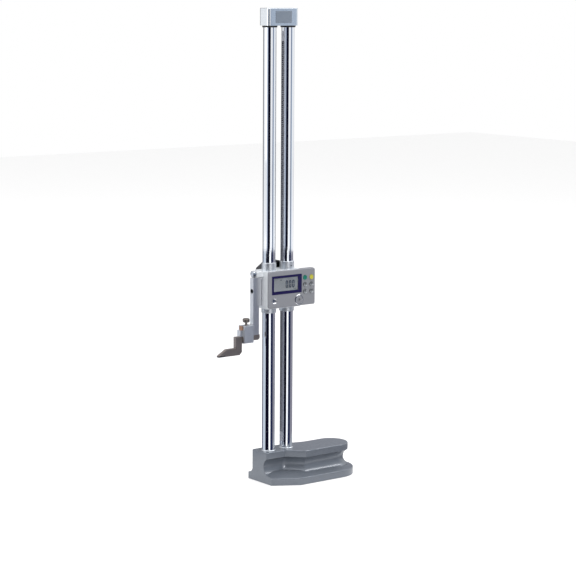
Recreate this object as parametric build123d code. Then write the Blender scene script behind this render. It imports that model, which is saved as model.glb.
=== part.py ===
from build123d import *
import os
from math import acos, atan, ceil, cos, degrees, floor, pi, radians, sin, tan

# Double-column height gauge. Millimetres, +Z up, z = 0 on the sole of the base. The main column's axis
# is the Z axis. +X runs along the base towards its hand grip, and the display faces -Y. The slider and
# all it carries are drawn at rest_height, where the scriber stands clear of the surface.

# ---------------------------------------------------------------- columns and cap
overall_height = 806
column_radius = 11.0
column_spacing = 38.0
column_seat_depth = 13.0
column_chamfer = 0.6
collar_radius = 12.3
collar_height = 1.2
cap_height = 29.0
cap_overhang = 12.8
cap_half_depth = 13.4
cap_corner = 5.0
cap_edge = 1.2
cap_seat_depth = 19.0
buffer_radius = 12.7
buffer_height = 3.0
plate_width = 33.0
plate_height = 20.0
plate_thickness = 0.8
plate_sink = 0.4
screw_end_gap = 2.0
seat_clearance = 0.02

# ---------------------------------------------------------------- base
base_left = -18.0
base_height = 54.0
foot_height = 12.0
foot_front = 59.5
foot_rear = 33.0
foot_left_front = 33.2
foot_corner_x = 26.0
foot_end_x = 118.0
column_block_front = 18.8
column_block_rear = 21.2
front_bend_start = 22.0
front_bend_end = 47.8
grip_front = 44.4
grip_rear = 14.5
rear_bend_start = 62.0
rear_bend_end = 88.0
grip_end_x = 126.0
groove_radius = 15.0
groove_depth = 8.2
groove_height = 29.2
apron_rise = 7.0
apron_run = 25.0
rear_root_radius = 8.0
cast_edge = 1.4
sole_land = 11.0
sole_relief = 1.6
cut_overrun = 1.0

# ---------------------------------------------------------------- rack drive
module = 1.0
pressure_angle = 25.0
backlash = 0.08
dedendum = 1.25
rack_tip = 10.1
rack_depth = 4.6
rack_width = 8.0
rack_bottom = 66.0
rack_top = 768.0
rack_plain_end = 17.0
slot_clearance = 0.03
feed_teeth = 14
encoder_teeth = 12
encoder_drop_pitches = 6
flank_steps = 3
gear_clearance = 0.5
shaft_radius = 3.0
encoder_shaft_radius = 2.0
shaft_end_gap = 0.5
turned_edge = 0.4
bush_wall = 2.0
front_bush_inset = 3.6
front_bush_gap = 1.6
encoder_bush_gap = 1.0
feed_rear_bush_front = 9.0
encoder_front_bush_back = -9.0
encoder_rear_bush_back = 13.0
brake_thickness = 1.2
spring_wire_radius = 0.7
spring_turns = 4
encoder_disc_radius = 13.0
encoder_disc_thickness = 0.7
rotor_gap = 0.2
disc_clearance = 0.6
running_clearance = 0.03

# ---------------------------------------------------------------- slider body
rest_height = 302.0
body_height = 64.0
body_left = -15.8
body_right = 53.8
body_front = -17.5
body_rear = 19.5
body_edge = 1.2
sleeve_wall = 1.6
upper_sleeve_rise = 13.6
upper_sleeve_length = 29.0
lower_sleeve_drop = 8.5
lower_sleeve_length = 18.5
middle_bore_gap = 0.5
feed_axis_height = 38.0
clamp_axis_height = 60.0
set_screw_radius = 1.2
set_screw_rise = 6.1
set_screw_sink = 0.2
set_screw_gap = 0.15
clamp_boss_depth = 12.0
clamp_boss_height = 10.0
clamp_boss_edge = 1.5
clamp_boss_length = 14.0
clamp_screw_radius = 2.5
clamp_pad_radius = 2.3
clamp_pad_length = 3.0
clamp_travel = 0.3
clamp_knob_radius = 5.6
clamp_knob_length = 5.4
clamp_knob_edge = 0.9

# ---------------------------------------------------------------- drive cover and feed wheel
cover_left = -2.3
cover_depth = 16.0
cover_wall = 2.0
cover_rise = 12.0
cover_slope_run = 17.5
cover_bottom_gap = 4.0
cover_screw_inset = 6.0
cover_thread_depth = 6.0
cover_screw_reach = 5.4
pillar_wall = 1.0
wheel_radius = 17.0
wheel_width = 9.0
wheel_gap = 1.0
wheel_rim = 3.5
wheel_hub_radius = 8.0
wheel_web = 3.0
wheel_hub_inset = 1.0
wheel_seat_wall = 3.0
wheel_screw_slot = 1.0
finger_notches = 12
finger_notch_radius = 3.0
crank_radius = 11.0
finger_knob_radius = 4.6
finger_knob_length = 15.0
finger_knob_edge = 1.6
knob_end_play = 0.1
knob_pin_radius = 1.5
knob_pin_head = 1.0

# ---------------------------------------------------------------- display
display_front = -22.2
display_height = 62.3
display_bottom_step = 1.7
display_wall = 1.7
display_corner = 3.0
display_edge = 1.0
rear_shell_depth = 10.0
bezel_left = -10.0
bezel_width = 63.3
bezel_bottom = 22.7
bezel_height = 31.8
bezel_top_frame = 4.0
bezel_bottom_frame = 5.2
bezel_left_frame = 4.0
bezel_right_frame = 8.0
bezel_corner = 1.0
bezel_proud = 0.3
lcd_thickness = 1.5
lcd_margin = 2.0
board_thickness = 1.2
board_margin = 1.0
key_radius = 4.2
key_edge = 0.7
key_proud = 1.2
key_travel = 0.5
key_flange = 0.7
key_clearance = 0.15
key_gap = 0.05
dome_radius = 2.9
dome_height = 0.4
dome_edge = 0.3
key_gap_x = 7.0
key_pitch_x = 13.8
key_margin_x = 8.1
key_top_z = 47.4
key_pitch_z = 11.9
key_rows = 3
key_columns = 2
socket_x = 47.9
socket_z = 10.3
socket_radius = 9.0
socket_rim = 1.8
socket_edge = 0.6
socket_sink = 0.5
socket_back_wall = 0.6
socket_proud = 0.8
socket_hole_radius = 2.2
case_screw_x = -4.4
case_screw_z = 12.0
screw_recess_radius = 5.4
screw_recess_wall = 1.0
screw_head_radius = 2.8
screw_shank_radius = 1.5
screw_slot = 0.8
case_thread_depth = 3.0
case_screw_reach = 2.7
battery_radius = 10.0
battery_thickness = 3.2
battery_z = 31.0
battery_edge = 0.3
battery_clip_inset = 1.0
battery_slot = 1.6

# ---------------------------------------------------------------- arm, clamp box and scriber
arm_left = -36.0
arm_width = 12.0
arm_depth = 9.2
arm_top = 53.5
arm_web_bottom = 5.0
arm_edge = 1.0
arm_web_fillet = 2.0
arm_groove_inset = 3.84
arm_groove_width = 2.4
arm_groove_depth = 1.6
arm_groove_end = 3.0
jaw_reach = 27.0
jaw_height = 10.6
jaw_drop = 43.7
jaw_clearance = 0.05
arm_hole_radius = 4.0
arm_hole_depth = 6.0
arm_hole_z = 31.0
arm_screw_radius = 2.5
arm_screw_head = 3.7
dowel_radius = 1.5
dowel_depth = 6.0
dowel_drop = 9.0
dowel_rise = 14.0
box_right = -38.0
box_width = 19.2
box_wall = 3.6
box_floor = 2.9
box_roof = 4.8
box_edge = 0.8
leaf_thickness = 1.4
leaf_lip = 7.0
clamp_lift = 0.8
thumb_radius = 6.0
thumb_height = 7.0
thumb_stem = 5.0
thumb_edge = 2.4
thumb_thread_radius = 2.0
scriber_height = 9.0
scriber_width = 7.0
scriber_back = -21.5
scriber_leg_left = -71.4
scriber_leg_width = 12.7
scriber_drop = 31.2
beak_height = 12.0
beak_reach = 35.0
beak_flat = 18.0
beak_heel = 5.0
scriber_knee = 1.2
tip_length = 13.0
tip_height = 2.2
tip_slope = 1.54

# ---------------------------------------------------------------- small fasteners
column_screw_radius = 4.0
column_screw_head = 6.5
column_screw_head_height = 8.0
cap_screw_radius = 3.0
cap_screw_head = 5.0
cap_screw_head_height = 6.0
rack_screw_radius = 1.5
rack_screw_head = 2.8
rack_thread_depth = 3.0
socket_ratio = 0.95
thread_clearance = 0.02
head_clearance = 0.3

# ---------------------------------------------------------------- places worked out from the sizes
column_bottom = base_height - column_seat_depth
cap_bottom = overall_height - cap_height
column_top = cap_bottom + cap_seat_depth
body_top = rest_height + body_height
pitch = pi * module
rack_tip_x = column_spacing - rack_tip
rack_pitch_x = rack_tip_x + module
feed_x = rack_pitch_x - feed_teeth * module / 2
feed_z = rest_height + feed_axis_height
encoder_x = rack_pitch_x - encoder_teeth * module / 2
encoder_z = feed_z - encoder_drop_pitches * pitch
sleeve_radius = column_radius + sleeve_wall
jaw_bottom = rest_height - jaw_drop
jaw_top = jaw_bottom + jaw_height
display_bottom = rest_height + display_bottom_step
display_top = display_bottom + display_height
bezel_right = bezel_left + bezel_width
key_column_x = bezel_right + key_gap_x
key_last_x = key_column_x + (key_columns - 1) * key_pitch_x
display_right = key_last_x + key_margin_x
battery_x = (key_column_x + key_last_x) / 2
case_inside = display_front + display_wall
board_front = case_inside + lcd_thickness + 2 * running_clearance
rotor_front = board_front + board_thickness + rotor_gap
rotor_back = rotor_front + encoder_disc_thickness
front_bush_front = body_front + front_bush_inset
front_bush_back = -rack_width / 2 - front_bush_gap
feed_cavity = feed_teeth * module / 2 + module + gear_clearance
encoder_cavity = encoder_teeth * module / 2 + module + gear_clearance
cover_back = body_rear + cover_depth
wheel_front = cover_back + wheel_gap
wheel_back = wheel_front + wheel_width
shaft_back = wheel_back - wheel_seat_wall
crank_x = feed_x + crank_radius
brake_front = body_rear + bush_wall + running_clearance
brake_back = brake_front + brake_thickness
clamp_z = rest_height + clamp_axis_height
clamp_boss_end = body_left - clamp_boss_length
arm_screw_z = rest_height + arm_hole_z
case_screw_height = display_bottom + case_screw_z
battery_height = display_bottom + battery_z
shell_back = body_front + rear_shell_depth
jaw_end = arm_left - jaw_reach
box_left = box_right - box_width
box_middle = (box_left + box_right) / 2
box_low = jaw_bottom - scriber_height - 2 * jaw_clearance - box_floor
window_top = jaw_top + leaf_thickness + 2 * jaw_clearance
box_high = window_top + clamp_lift + box_roof
columns = [0.0, column_spacing]


# ---------------------------------------------------------------- helpers
def block(x0, x1, y0, y1, z0, z1):
    size = Box(x1 - x0, y1 - y0, z1 - z0)
    return Pos((x0 + x1) / 2, (y0 + y1) / 2, (z0 + z1) / 2) * size


def post(x, y, z0, z1, radius):
    return Pos(x, y, (z0 + z1) / 2) * Cylinder(radius, z1 - z0)


def rod_y(x, z, y0, y1, radius):
    return Pos(x, (y0 + y1) / 2, z) * Rot(90, 0, 0) * Cylinder(radius, y1 - y0)


def rod_x(y, z, x0, x1, radius):
    return Pos((x0 + x1) / 2, y, z) * Rot(0, 90, 0) * Cylinder(radius, x1 - x0)


def side_profile(points, y0, y1):
    # A closed outline in the XZ plane, drawn through (x, z) points and carried from y0 to y1.
    face = make_face(Polyline([(x, y0, z) for x, z in points], close=True))
    return extrude(face, amount=y1 - y0, dir=(0, 1, 0))


def edges_at(shape, axis, place, tolerance=0.01):
    return shape.edges().filter_by_position(axis, place - tolerance, place + tolerance)


def save(name, shape):
    export_step(shape, f"parts/{name}.step")


# ---------------------------------------------------------------- base
def plan_outline(points, end_x, front, rear):
    # The straight sides run through the points; a half circle joins them at the grip end.
    radius = (front + rear) / 2
    middle = (rear - front) / 2
    sides = Polyline(points)
    end = ThreePointArc((end_x, -front), (end_x + radius, middle), (end_x, rear))
    return make_face(sides + end)


def foot_plan():
    overrun = base_left - apron_run
    slant = (foot_front - foot_left_front) / (foot_corner_x - base_left)
    points = [
        (foot_end_x, foot_rear),
        (overrun, foot_rear),
        (overrun, -foot_left_front + slant * apron_run),
        (foot_corner_x, -foot_front),
        (foot_end_x, -foot_front),
    ]
    return plan_outline(points, foot_end_x, foot_front, foot_rear)


def grip_plan():
    # The outline of the grip and of the block that holds the columns, seen from above.
    overrun = base_left - apron_run
    points = [
        (grip_end_x, grip_rear),
        (rear_bend_end, grip_rear),
        (rear_bend_start, column_block_rear),
        (overrun, column_block_rear),
        (overrun, -column_block_front),
        (front_bend_start, -column_block_front),
        (front_bend_end, -grip_front),
        (grip_end_x, -grip_front),
    ]
    return plan_outline(points, grip_end_x, grip_front, grip_rear)


def groove_path():
    # The centre of the groove's round section follows the grip's outline at a constant distance outside
    # it, from the sawn end, along the front and round the grip to the bend at the rear.
    outside = groove_radius - groove_depth
    overrun = base_left - apron_run
    front_turn = atan((grip_front - column_block_front) / (front_bend_end - front_bend_start))
    rear_turn = atan((column_block_rear - grip_rear) / (rear_bend_end - rear_bend_start))
    front_shift = outside * tan(front_turn / 2)
    rear_shift = outside * tan(rear_turn / 2)
    front_y = -grip_front - outside
    rear_y = grip_rear + outside
    along_front = Polyline([
        (overrun, -column_block_front - outside),
        (front_bend_start - front_shift, -column_block_front - outside),
        (front_bend_end - front_shift, front_y),
        (grip_end_x, front_y),
    ])
    radius = (rear_y - front_y) / 2
    far_point = (grip_end_x + radius, (rear_y + front_y) / 2)
    round_end = ThreePointArc((grip_end_x, front_y), far_point, (grip_end_x, rear_y))
    along_rear = Polyline([(grip_end_x, rear_y), (rear_bend_end + rear_shift, rear_y)])
    return Pos(0, 0, groove_height) * Wire(along_front.edges() + round_end.edges() + along_rear.edges())


def finger_groove():
    path = groove_path()
    section = Plane(path @ 0, z_dir=path % 0) * Circle(groove_radius)
    groove = sweep(section, path, transition=Transition.ROUND)
    return groove + Pos(path @ 1) * Sphere(groove_radius)


def base():
    slope = degrees(atan(apron_run / apron_rise))
    foot = extrude(foot_plan(), foot_height)
    apron = extrude(Pos(0, 0, foot_height) * foot_plan(), apron_rise, taper=slope)
    grip = Pos(0, 0, foot_height) * extrude(grip_plan(), base_height - foot_height)
    shape = foot + apron + (grip - finger_groove())

    # Behind the columns the apron runs up into the straight wall through a wide fillet.
    rear_roots = shape.edges().filter_by(lambda e: e.bounding_box().min.Z > foot_height + cast_edge)
    rear_roots = rear_roots.filter_by(lambda e: e.bounding_box().max.Z < foot_height + apron_rise)
    rear_roots = rear_roots.filter_by(lambda e: e.bounding_box().min.Y > grip_rear)
    rear_roots = rear_roots.filter_by(lambda e: e.bounding_box().min.X < rear_bend_start + cast_edge)
    shape = fillet(rear_roots, rear_root_radius)

    # The column end is sawn off square, so the front groove runs out through it.
    far_left = base_left - apron_run
    top = base_height + cut_overrun
    shape -= block(far_left - cut_overrun, base_left, -foot_front, foot_rear, -cut_overrun, top)
    rounded = edges_at(shape, Axis.Z, base_height) + edges_at(shape, Axis.Z, foot_height)
    shape = fillet(rounded, cast_edge)

    # The sole rests on a lapped land that runs round a shallow relief.
    land = offset(foot_plan(), -sole_land, kind=Kind.INTERSECTION)
    relief = extrude(land, sole_relief) & block(
        base_left + sole_land, foot_end_x + foot_front, -foot_front, foot_rear, 0, sole_relief
    )
    shape -= relief
    for x in columns:
        shape -= post(x, 0, column_bottom, base_height + cut_overrun, column_radius + seat_clearance)
        shape -= post(x, 0, 0, column_bottom, column_screw_radius + head_clearance)
        head_top = sole_relief + head_clearance + column_screw_head_height
        shape -= post(x, 0, 0, head_top, column_screw_head + head_clearance)
    return shape


# ---------------------------------------------------------------- columns, rack and cap
def plain_column(x):
    bar = post(x, 0, column_bottom, column_top, column_radius)
    ends = bar.edges().filter_by(GeomType.CIRCLE)
    bar = chamfer(ends, column_chamfer)
    bar -= post(x, 0, column_bottom, base_height, column_screw_radius + thread_clearance)
    bar -= post(x, 0, cap_bottom, column_top, cap_screw_radius + thread_clearance)
    return bar


def rack_screw_heights():
    return [rack_bottom + rack_plain_end / 2, rack_top - rack_plain_end / 2]


def sub_column():
    half_slot = rack_width / 2 + slot_clearance
    slot_floor = rack_tip_x + rack_depth + slot_clearance
    bottom = rack_bottom - slot_clearance
    top = rack_top + slot_clearance
    shape = plain_column(column_spacing)
    slot_left = column_spacing - column_radius - cut_overrun
    shape -= block(slot_left, slot_floor, -half_slot, half_slot, bottom, top)
    for z in rack_screw_heights():
        end = slot_floor + rack_thread_depth
        shape -= rod_x(0, z, slot_floor, end, rack_screw_radius + thread_clearance)
    return shape


def tooth_half_width(depth_from_pitch):
    # Half the width of a straight-flanked rack tooth, this far below the pitch line.
    return (pitch / 2 - backlash) / 2 + depth_from_pitch * tan(radians(pressure_angle))


def feed_rack():
    back = rack_tip_x + rack_depth
    root_x = rack_pitch_x + dedendum * module
    tip_half = tooth_half_width(-module)
    root_half = tooth_half_width(dedendum * module)
    toothed_bottom = rack_bottom + rack_plain_end
    toothed_top = rack_top - rack_plain_end
    first = ceil((toothed_bottom + root_half - feed_z) / pitch)
    last = floor((toothed_top - root_half - feed_z) / pitch)
    points = [(rack_tip_x, rack_bottom), (rack_tip_x, toothed_bottom), (root_x, toothed_bottom)]
    for tooth in range(first, last + 1):
        z = feed_z + tooth * pitch
        points += [(root_x, z - root_half), (rack_tip_x, z - tip_half)]
        points += [(rack_tip_x, z + tip_half), (root_x, z + root_half)]
    points += [(root_x, toothed_top), (rack_tip_x, toothed_top), (rack_tip_x, rack_top)]
    points += [(back, rack_top), (back, rack_bottom)]
    shape = side_profile(points, -rack_width / 2, rack_width / 2)
    for z in rack_screw_heights():
        shape -= rod_x(0, z, rack_tip_x, back, rack_screw_radius + thread_clearance)
        shape -= rod_x(0, z, rack_tip_x, rack_tip_x + rack_screw_radius, rack_screw_head + thread_clearance)
    return shape


def rack_screws():
    shapes = []
    for z in rack_screw_heights():
        seat = rack_tip_x + rack_screw_radius
        end = rack_tip_x + rack_depth + rack_screw_radius
        head = rod_x(0, z, rack_tip_x + head_clearance, seat, rack_screw_head)
        shapes.append(head + rod_x(0, z, seat, end, rack_screw_radius))
    return Compound(shapes)


def column_collars():
    shapes = []
    for x in columns:
        ring = post(x, 0, base_height, base_height + collar_height, collar_radius)
        ring = chamfer(edges_at(ring, Axis.Z, base_height + collar_height), column_chamfer)
        ring -= post(x, 0, base_height, base_height + collar_height, column_radius + seat_clearance)
        shapes.append(ring)
    return Compound(shapes)


def socket_screw(x, y, z_head, up, head_radius, head_height, shank_radius, shank_length):
    # A socket-head screw whose head sits beyond z_head; its shank runs the way that up points.
    z_far = z_head - up * head_height
    z_tip = z_head + up * shank_length
    hex_radius = shank_radius * socket_ratio
    head = post(x, y, min(z_head, z_far), max(z_head, z_far), head_radius)
    shank = post(x, y, min(z_head, z_tip), max(z_head, z_tip), shank_radius)
    recess = extrude(Pos(x, y, z_far) * RegularPolygon(hex_radius, 6), up * head_height / 2)
    return head + shank - recess


def column_screws():
    head_seat = sole_relief + head_clearance + column_screw_head_height
    length = column_bottom - head_seat + column_seat_depth - screw_end_gap
    radius = column_screw_radius
    return Compound([
        socket_screw(x, 0, head_seat, 1, column_screw_head, column_screw_head_height, radius, length)
        for x in columns
    ])


def top_cap():
    left = -cap_overhang
    right = column_spacing + cap_overhang
    shape = block(left, right, -cap_half_depth, cap_half_depth, cap_bottom, overall_height)
    shape = fillet(shape.edges().filter_by(Axis.Z), cap_corner)
    shape = fillet(edges_at(shape, Axis.Z, overall_height), cap_edge)
    plate_x = column_spacing / 2
    plate_z = cap_bottom + cap_height / 2 - plate_sink
    shape -= block(
        plate_x - plate_width / 2 - seat_clearance, plate_x + plate_width / 2 + seat_clearance,
        -cap_half_depth, plate_sink - cap_half_depth,
        plate_z - plate_height / 2 - seat_clearance, plate_z + plate_height / 2 + seat_clearance,
    )
    for x in columns:
        shape -= post(x, 0, cap_bottom, column_top, column_radius + seat_clearance)
        shape -= post(x, 0, column_top, overall_height, cap_screw_radius + head_clearance)
        seat = overall_height - cap_screw_head_height
        shape -= post(x, 0, seat, overall_height, cap_screw_head + head_clearance)
    return shape


def cap_plate():
    x = column_spacing / 2
    z = cap_bottom + cap_height / 2 - plate_sink
    front = -cap_half_depth + plate_sink - plate_thickness
    back = plate_sink - cap_half_depth
    return block(
        x - plate_width / 2, x + plate_width / 2, front, back, z - plate_height / 2, z + plate_height / 2
    )


def cap_screws():
    seat = overall_height - cap_screw_head_height
    length = seat - column_top + cap_seat_depth - screw_end_gap
    radius = cap_screw_radius
    return Compound([
        socket_screw(x, 0, seat, -1, cap_screw_head, cap_screw_head_height, radius, length)
        for x in columns
    ])


def column_buffers():
    shapes = []
    for x in columns:
        ring = post(x, 0, cap_bottom - buffer_height, cap_bottom, buffer_radius)
        ring = fillet(edges_at(ring, Axis.Z, cap_bottom - buffer_height), buffer_height / 3)
        ring -= post(x, 0, cap_bottom - buffer_height, cap_bottom, column_radius + seat_clearance)
        shapes.append(ring)
    return Compound(shapes)


# ---------------------------------------------------------------- gears, shafts and bushes
def involute(angle):
    return tan(angle) - angle


def gear_profile(teeth, tooth_faces_right):
    # Involute spur gear outline about the origin; a tooth or a space points along +X.
    pitch_radius = teeth * module / 2
    base_radius = pitch_radius * cos(radians(pressure_angle))
    root_radius = pitch_radius - dedendum * module
    tip_radius = pitch_radius + module
    half_at_pitch = pi / teeth / 2 - backlash / 2 / pitch_radius
    start_radius = max(base_radius, root_radius)
    phase = 0 if tooth_faces_right else pi / teeth
    points = []
    for tooth in range(teeth):
        middle = phase + tooth * 2 * pi / teeth
        flank = []
        for step in range(flank_steps + 1):
            radius = start_radius + (tip_radius - start_radius) * step / flank_steps
            roll = acos(base_radius / radius)
            half = half_at_pitch + involute(radians(pressure_angle)) - involute(roll)
            flank.append((radius, half))
        flank.insert(0, (root_radius, flank[0][1]))
        for radius, half in flank:
            points.append((radius * cos(middle - half), radius * sin(middle - half)))
        for radius, half in reversed(flank):
            points.append((radius * cos(middle + half), radius * sin(middle + half)))
    return make_face(Polyline(points, close=True))


def spur_gear(x, z, teeth, tooth_faces_right, width):
    gear = extrude(gear_profile(teeth, tooth_faces_right), width)
    return Pos(x, width / 2, z) * Rot(90, 0, 0) * gear


def feed_pinion():
    gear = spur_gear(feed_x, feed_z, feed_teeth, False, rack_width)
    collar_back = feed_rear_bush_front - running_clearance
    collar = rod_y(feed_x, feed_z, rack_width / 2, collar_back, shaft_radius + bush_wall)
    bore = rod_y(feed_x, feed_z, -rack_width, feed_rear_bush_front, shaft_radius + seat_clearance)
    return gear + collar - bore


def feed_shaft():
    shaft = rod_y(feed_x, feed_z, front_bush_front + shaft_end_gap, shaft_back, shaft_radius)
    return chamfer(shaft.edges().filter_by(GeomType.CIRCLE), turned_edge)


def feed_front_bush():
    bush = rod_y(feed_x, feed_z, front_bush_front, front_bush_back, shaft_radius + bush_wall)
    return bush - rod_y(feed_x, feed_z, front_bush_front, front_bush_back, shaft_radius + running_clearance)


def feed_rear_bush():
    bush = rod_y(feed_x, feed_z, feed_rear_bush_front, body_rear, feed_cavity)
    flange = rod_y(feed_x, feed_z, body_rear, body_rear + bush_wall, feed_cavity + bush_wall)
    flange_back = body_rear + bush_wall
    hole = rod_y(feed_x, feed_z, feed_rear_bush_front, flange_back, shaft_radius + running_clearance)
    return bush + flange - hole


def brake_washer():
    washer = rod_y(feed_x, feed_z, brake_front, brake_back, feed_cavity)
    return washer - rod_y(feed_x, feed_z, brake_front, brake_back, shaft_radius + running_clearance)


def brake_spring():
    # A coil spring between the brake washer and the cover, drawn as turns of round wire.
    start = brake_back + spring_wire_radius + running_clearance
    height = cover_back - cover_wall - running_clearance - spring_wire_radius - start
    path = Helix(height / spring_turns, height, shaft_radius + 3 * spring_wire_radius)
    path = Pos(feed_x, start, feed_z) * Rot(-90, 0, 0) * path
    section = Plane(path @ 0, z_dir=path % 0) * Circle(spring_wire_radius)
    return sweep(section, path)


def feed_wheel():
    rim = rod_y(feed_x, feed_z, wheel_front, wheel_back, wheel_radius)
    rim = fillet(rim.edges().filter_by(GeomType.CIRCLE), wheel_web / 2)
    for notch in range(finger_notches):
        angle = 2 * pi * (notch + 0.5) / finger_notches
        reach = wheel_radius + finger_notch_radius / 2
        x = feed_x + reach * cos(angle)
        z = feed_z + reach * sin(angle)
        rim -= rod_y(x, z, wheel_front, wheel_back, finger_notch_radius)
    dish = rod_y(feed_x, feed_z, wheel_front + wheel_web, wheel_back, wheel_radius - wheel_rim)
    hub = rod_y(feed_x, feed_z, wheel_front, wheel_back - wheel_hub_inset, wheel_hub_radius)
    boss = rod_y(crank_x, feed_z, wheel_front, wheel_back, knob_pin_radius + bush_wall)
    shape = rim - dish + hub + boss
    shape -= rod_y(feed_x, feed_z, wheel_front, shaft_back, shaft_radius + seat_clearance)
    shape -= rod_y(feed_x, feed_z, wheel_front, wheel_back, screw_shank_radius + seat_clearance)
    shape -= rod_y(crank_x, feed_z, wheel_front, wheel_back, knob_pin_radius + seat_clearance)
    return shape


def wheel_screw():
    seat = wheel_back - wheel_hub_inset
    head_back = seat + 2 * screw_shank_radius
    half_slot = wheel_screw_slot / 2
    head = rod_y(feed_x, feed_z, seat, head_back, screw_head_radius + pillar_wall)
    slot = block(
        feed_x - wheel_radius, feed_x + wheel_radius, seat + screw_shank_radius, head_back,
        feed_z - half_slot, feed_z + half_slot,
    )
    shank = rod_y(feed_x, feed_z, shaft_back + knob_end_play, seat, screw_shank_radius)
    return head - slot + shank


def finger_knob_pin():
    end = wheel_back + finger_knob_length
    pin = rod_y(crank_x, feed_z, wheel_front, end, knob_pin_radius)
    head = rod_y(crank_x, feed_z, end, end + knob_pin_head, knob_pin_radius + knob_pin_head)
    return pin + head


def finger_knob():
    start = wheel_back + knob_end_play
    end = wheel_back + finger_knob_length - knob_end_play
    knob = rod_y(crank_x, feed_z, start, end, finger_knob_radius)
    knob = fillet(knob.edges().filter_by(GeomType.CIRCLE), finger_knob_edge)
    return knob - rod_y(crank_x, feed_z, start, end, knob_pin_radius + running_clearance)


def encoder_pinion():
    gear = spur_gear(encoder_x, encoder_z, encoder_teeth, False, rack_width)
    spindle_back = encoder_rear_bush_back - shaft_end_gap
    spindle = rod_y(encoder_x, encoder_z, rotor_front, spindle_back, encoder_shaft_radius)
    return gear + spindle


def encoder_rotor():
    hub_back = front_bush_front - rotor_gap
    disc = rod_y(encoder_x, encoder_z, rotor_front, rotor_back, encoder_disc_radius)
    hub = rod_y(encoder_x, encoder_z, rotor_back, hub_back, encoder_shaft_radius + bush_wall)
    bore = rod_y(encoder_x, encoder_z, rotor_front, hub_back, encoder_shaft_radius + seat_clearance)
    return disc + hub - bore


def encoder_bush(front, back, radius):
    bush = rod_y(encoder_x, encoder_z, front, back, radius)
    return bush - rod_y(encoder_x, encoder_z, front, back, encoder_shaft_radius + running_clearance)


def encoder_front_bush():
    return encoder_bush(front_bush_front, encoder_front_bush_back, encoder_cavity)


def encoder_rear_bush():
    front = rack_width / 2 + encoder_bush_gap
    return encoder_bush(front, encoder_rear_bush_back, encoder_shaft_radius + bush_wall)


# ---------------------------------------------------------------- slider body and its clamp
def drive_bores():
    # Cavities and bearing seats of the two pinions; both break into the sub column's bore.
    feed_seat = rod_y(feed_x, feed_z, front_bush_front, front_bush_back, shaft_radius + bush_wall)
    feed_space = rod_y(feed_x, feed_z, front_bush_back, body_rear, feed_cavity)
    gear_back = rack_width / 2 + encoder_bush_gap
    bush_radius = encoder_shaft_radius + bush_wall
    disc_radius = encoder_disc_radius + disc_clearance
    encoder_space = rod_y(encoder_x, encoder_z, front_bush_front, gear_back, encoder_cavity)
    rear_seat = rod_y(encoder_x, encoder_z, gear_back, encoder_rear_bush_back, bush_radius)
    disc_space = rod_y(encoder_x, encoder_z, body_front, front_bush_front, disc_radius)
    return feed_seat + feed_space + encoder_space + rear_seat + disc_space


def cover_screw_places():
    left = cover_left + cover_screw_inset
    right = body_right - cover_screw_inset
    low = rest_height + cover_bottom_gap + cover_screw_inset
    high = body_top - cover_screw_inset
    return [(left, low), (right, low), (left, high), (right, high)]


def dowel_heights():
    return [arm_screw_z - dowel_drop, arm_screw_z + dowel_rise]


def slider_body():
    shape = block(body_left, body_right, body_front, body_rear, rest_height, body_top)
    shape = fillet(shape.edges().filter_by(Axis.Z), body_edge)
    boss_half = clamp_boss_depth / 2
    boss_low = body_top - clamp_boss_height
    boss = block(clamp_boss_end, body_left + body_edge, -boss_half, boss_half, boss_low, body_top)
    shape += fillet(boss.edges().filter_by(Axis.X), clamp_boss_edge)
    lower_seat = rest_height + lower_sleeve_length - lower_sleeve_drop
    upper_seat = body_top - upper_sleeve_length + upper_sleeve_rise
    for x in columns:
        shape -= post(x, 0, rest_height, body_top, column_radius + middle_bore_gap)
        shape -= post(x, 0, rest_height, lower_seat, sleeve_radius)
        shape -= post(x, 0, upper_seat, body_top, sleeve_radius)
    shape -= drive_bores()
    shape -= rod_x(0, clamp_z, clamp_boss_end, 0, clamp_screw_radius + thread_clearance)
    shape -= rod_x(0, arm_screw_z, body_left, -column_radius, arm_screw_radius + thread_clearance)
    for z in dowel_heights():
        shape -= rod_x(0, z, body_left, -column_radius, dowel_radius + seat_clearance)
    thread_radius = screw_shank_radius + thread_clearance
    for x, z in cover_screw_places():
        shape -= rod_y(x, z, body_rear - cover_thread_depth, body_rear, thread_radius)
    thread_end = body_front + case_thread_depth
    shape -= rod_y(case_screw_x, case_screw_height, body_front, thread_end, thread_radius)
    return shape


def guide_sleeves(z0, z1):
    shapes = []
    for x in columns:
        ring = post(x, 0, z0, z1, sleeve_radius)
        ring = chamfer(ring.edges().filter_by(GeomType.CIRCLE), turned_edge)
        ring -= post(x, 0, z0, z1, column_radius + running_clearance)
        shapes.append(ring)
    return shapes


def upper_guide_sleeves():
    z1 = body_top + upper_sleeve_rise
    left, right = guide_sleeves(z1 - upper_sleeve_length, z1)
    left -= rod_x(0, clamp_z, -sleeve_radius, 0, clamp_screw_radius + thread_clearance)
    z = body_top + set_screw_rise
    right -= rod_y(column_spacing, z, -sleeve_radius, 0, set_screw_radius + thread_clearance)
    return Compound([left, right])


def lower_guide_sleeves():
    z0 = rest_height - lower_sleeve_drop
    return Compound(guide_sleeves(z0, z0 + lower_sleeve_length))


def sleeve_set_screw():
    front = set_screw_sink - sleeve_radius
    back = -column_radius - set_screw_gap
    return rod_y(column_spacing, body_top + set_screw_rise, front, back, set_screw_radius)


def clamp_pad():
    end = -column_radius - clamp_travel
    return rod_x(0, clamp_z, end - clamp_pad_length, end, clamp_pad_radius)


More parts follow.
